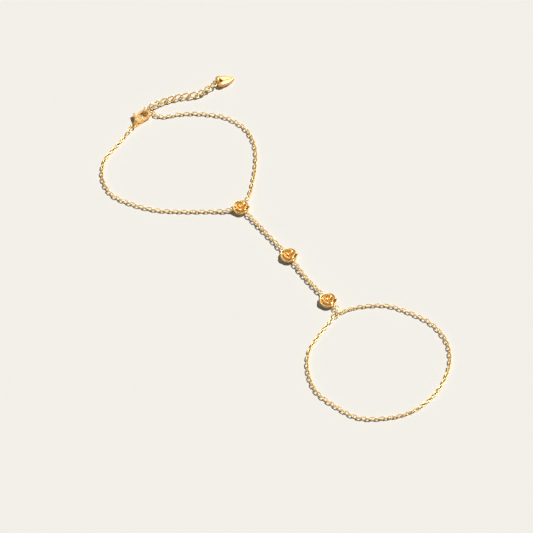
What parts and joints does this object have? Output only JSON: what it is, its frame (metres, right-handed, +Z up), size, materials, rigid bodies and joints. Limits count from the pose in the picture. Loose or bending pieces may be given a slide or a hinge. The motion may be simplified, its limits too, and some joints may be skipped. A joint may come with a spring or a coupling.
{
  "type": "hand chain bracelet",
  "caption": "Hand chain laid flat: a wrist loop and a palm loop of fine cable chain joined by a strand with three open roses, a trigger clasp, an extender and a heart charm.",
  "frame": {"origin": "on the surface the chain lies on, under the middle of its bounding box", "axes": "+Z up from the surface; +X across the two loops to the right as worn on the layout; +Y from the palm loop towards the wrist loop"},
  "size_m": [0.1227, 0.1629, 0.0037],
  "materials": {
    "chain": "polished gold plate",
    "findings": "polished gold plate",
    "roses": "polished gold plate",
    "charm": "polished gold plate"
  },
  "bodies": {
    "bracelet": {"wrist_chain_left": "chain", "wrist_chain_right": "chain", "strand_upper": "chain", "strand_lower": "chain", "palm_chain_right": "chain", "palm_chain_left": "chain", "rose_1": "roses", "rose_2": "roses", "rose_3": "roses", "extender_chain": "findings", "heart_charm": "charm", "charm_ring": "findings", "clasp_body": "findings", "clasp_pin": "findings", "tail_ring": "findings", "hook_ring": "findings", "strand_ring": "findings", "palm_ring": "findings", "palm_link": "findings", "join_ring": "findings"},
    "lever": {"clasp_lever": "findings"}
  },
  "joints": [
    {"name": "clasp_lever_hinge", "type": "hinge", "parent": "bracelet", "child": "lever", "pos_m": [-0.0481, 0.05849, 0.00115], "axis": [0, 0, 1], "range_deg": [0, 20], "stiffness_Nm_per_rad": 0.0003}
  ]
}
